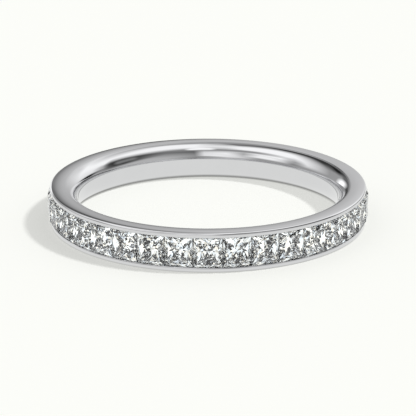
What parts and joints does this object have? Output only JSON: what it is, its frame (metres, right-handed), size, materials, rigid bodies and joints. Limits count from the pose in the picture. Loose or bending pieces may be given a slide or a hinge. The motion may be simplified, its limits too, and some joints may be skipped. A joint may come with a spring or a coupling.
{
  "type": "channel set band",
  "caption": "Finger ring with a full row of square princess cut stones held edge to edge between two polished rails, comfort-fit bore, lying on its side.",
  "frame": {"origin": "on the ring's axis, at the plane of the side face it lies on", "axes": "+Z along the ring's axis, upwards as it lies; -Y towards the first stone; +X to the right seen from there"},
  "size_m": [0.0204, 0.0204, 0.0024],
  "materials": {
    "metal": "mirror polished white gold",
    "stone": "polished facets of clear diamond"
  },
  "bodies": {
    "root": {"band": "metal", "stone_01": "stone", "stone_02": "stone", "stone_03": "stone", "stone_04": "stone", "stone_05": "stone", "stone_06": "stone", "stone_07": "stone", "stone_08": "stone", "stone_09": "stone", "stone_10": "stone", "stone_11": "stone", "stone_12": "stone", "stone_13": "stone", "stone_14": "stone", "stone_15": "stone", "stone_16": "stone", "stone_17": "stone", "stone_18": "stone", "stone_19": "stone", "stone_20": "stone", "stone_21": "stone", "stone_22": "stone", "stone_23": "stone", "stone_24": "stone", "stone_25": "stone", "stone_26": "stone", "stone_27": "stone", "stone_28": "stone", "stone_29": "stone", "stone_30": "stone", "stone_31": "stone", "stone_32": "stone", "stone_33": "stone", "stone_34": "stone", "stone_35": "stone", "stone_36": "stone"}
  },
  "joints": []
}
